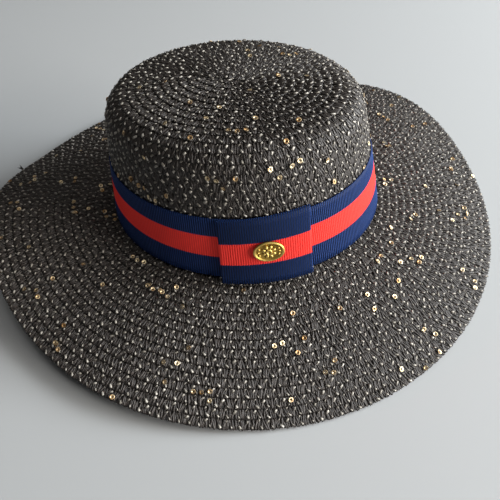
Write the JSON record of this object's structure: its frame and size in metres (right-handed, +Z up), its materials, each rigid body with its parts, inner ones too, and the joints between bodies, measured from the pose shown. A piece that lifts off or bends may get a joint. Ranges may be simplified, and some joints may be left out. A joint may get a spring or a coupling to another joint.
{
  "type": "straw sun hat",
  "caption": "Wide-brimmed, flat-topped straw sun hat of sewn braid with a striped ribbon band, a ribbon tab and a small metal ornament.",
  "frame": {"origin": "on the floor under the middle of the brim's box, with the hat standing on the front and back dips of its brim", "axes": "+Z up, -Y towards the front where the ribbon tab sits, +X to the viewer's right when the tab faces the viewer"},
  "size_m": [0.3738, 0.3466, 0.1315],
  "materials": {
    "straw": "woven black paper braid with metallic thread",
    "ribbon": "ribbed grosgrain, navy with a red stripe",
    "brass": "satin gold-coloured casting"
  },
  "bodies": {
    "root": {"crown": "straw", "brim": "straw", "ribbon_band": "ribbon", "ribbon_tab": "ribbon", "ornament": "brass"}
  },
  "joints": []
}
